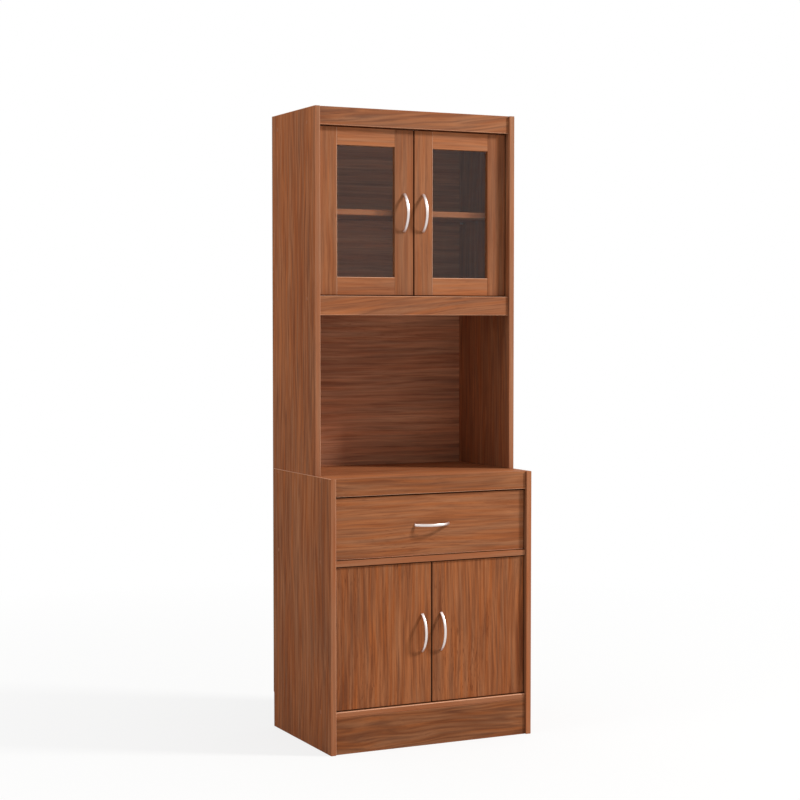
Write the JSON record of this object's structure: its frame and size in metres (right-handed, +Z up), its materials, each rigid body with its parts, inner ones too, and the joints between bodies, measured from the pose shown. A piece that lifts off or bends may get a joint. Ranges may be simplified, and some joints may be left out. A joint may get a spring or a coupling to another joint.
{
  "type": "kitchen cabinet",
  "caption": "Tall free-standing kitchen cabinet: lower unit with doors and a drawer, open appliance niche over its counter, glazed doors above, bow handles.",
  "frame": {"origin": "middle of the bounding box in X and Y, at floor level; the box includes the bow handles, so the wall plane is at y = +0.208", "axes": "+Z up, the front with its doors faces -Y, +X is to the right seen from the front"},
  "size_m": [0.6, 0.416, 1.7],
  "materials": {
    "laminate": "satin printed wood laminate, reddish brown",
    "laminate_back": "thin laminated hardboard",
    "hardboard": "plain hardboard",
    "dowel_wood": "plain beech",
    "glass": "clear float glass",
    "handle_metal": "satin nickel look",
    "steel": "zinc plated",
    "runner_metal": "cream baked enamel",
    "nylon": "off white nylon",
    "cap_plastic": "brown cap"
  },
  "bodies": {
    "carcass": {"lower_side_left": "laminate", "lower_side_right": "laminate", "upper_side_left": "laminate", "upper_side_right": "laminate", "counter_board": "laminate", "counter_apron": "laminate", "mid_board": "laminate", "bottom_board": "laminate", "plinth_board": "laminate", "top_board": "laminate", "crown_rail": "laminate", "niche_board": "laminate", "niche_rail": "laminate", "upper_shelf": "laminate", "shelf_pins": "steel", "upper_back_panel": "laminate_back", "lower_back_panel": "laminate_back", "carcass_screws": "steel", "screw_caps": "cap_plastic", "joining_dowels": "dowel_wood", "back_panel_nails": "steel", "pivot_bushes": "nylon", "door_catches": "nylon", "cabinet_runners": "runner_metal"},
    "upper_left_door": {"upper_left_stiles": "laminate", "upper_left_rails": "laminate", "upper_left_glass": "glass", "upper_left_beads": "laminate", "upper_left_handle": "handle_metal", "upper_left_screws": "steel", "upper_left_pivots": "steel", "upper_left_strike": "steel"},
    "upper_right_door": {"upper_right_stiles": "laminate", "upper_right_rails": "laminate", "upper_right_glass": "glass", "upper_right_beads": "laminate", "upper_right_handle": "handle_metal", "upper_right_screws": "steel", "upper_right_pivots": "steel", "upper_right_strike": "steel"},
    "lower_left_door": {"lower_left_panel": "laminate", "lower_left_handle": "handle_metal", "lower_left_screws": "steel", "lower_left_pivots": "steel", "lower_left_strike": "steel"},
    "lower_right_door": {"lower_right_panel": "laminate", "lower_right_handle": "handle_metal", "lower_right_screws": "steel", "lower_right_pivots": "steel", "lower_right_strike": "steel"},
    "drawer": {"drawer_front": "laminate", "drawer_handle": "handle_metal", "drawer_screws": "steel", "drawer_side_left": "laminate", "drawer_side_right": "laminate", "drawer_back": "laminate", "drawer_bottom": "hardboard", "drawer_runners": "runner_metal"},
    "cabinet_roller_pair": {"cabinet_rollers": "nylon"},
    "drawer_roller_pair": {"drawer_rollers": "nylon"}
  },
  "joints": [
    {"name": "upper_left_door_swing", "type": "hinge", "parent": "carcass", "child": "upper_left_door", "pos_m": [-0.265, -0.0635, 1.427], "axis": [0, 0, -1], "range_deg": [0, 95]},
    {"name": "upper_right_door_swing", "type": "hinge", "parent": "carcass", "child": "upper_right_door", "pos_m": [0.265, -0.0635, 1.427], "axis": [0, 0, 1], "range_deg": [0, 95]},
    {"name": "lower_left_door_swing", "type": "hinge", "parent": "carcass", "child": "lower_left_door", "pos_m": [-0.265, -0.1725, 0.303], "axis": [0, 0, -1], "range_deg": [0, 95]},
    {"name": "lower_right_door_swing", "type": "hinge", "parent": "carcass", "child": "lower_right_door", "pos_m": [0.265, -0.1725, 0.303], "axis": [0, 0, 1], "range_deg": [0, 95]},
    {"name": "drawer_slide", "type": "slide", "parent": "carcass", "child": "drawer", "axis": [0, -1, 0], "range_m": [0, 0.25]},
    {"name": "cabinet_roller_spin", "type": "hinge", "parent": "carcass", "child": "cabinet_roller_pair", "pos_m": [0, -0.151, 0.535], "axis": [1, 0, 0], "range_deg": [0, 2046.3]},
    {"name": "drawer_roller_spin", "type": "hinge", "parent": "drawer", "child": "drawer_roller_pair", "pos_m": [0, 0.153, 0.535], "axis": [1, 0, 0], "range_deg": [0, 2046.3]}
  ],
  "couplings": [
    {"joint": "cabinet_roller_spin", "follows": "drawer_slide", "rad_per_m": 142.86},
    {"joint": "drawer_roller_spin", "follows": "drawer_slide", "rad_per_m": 142.86}
  ]
}
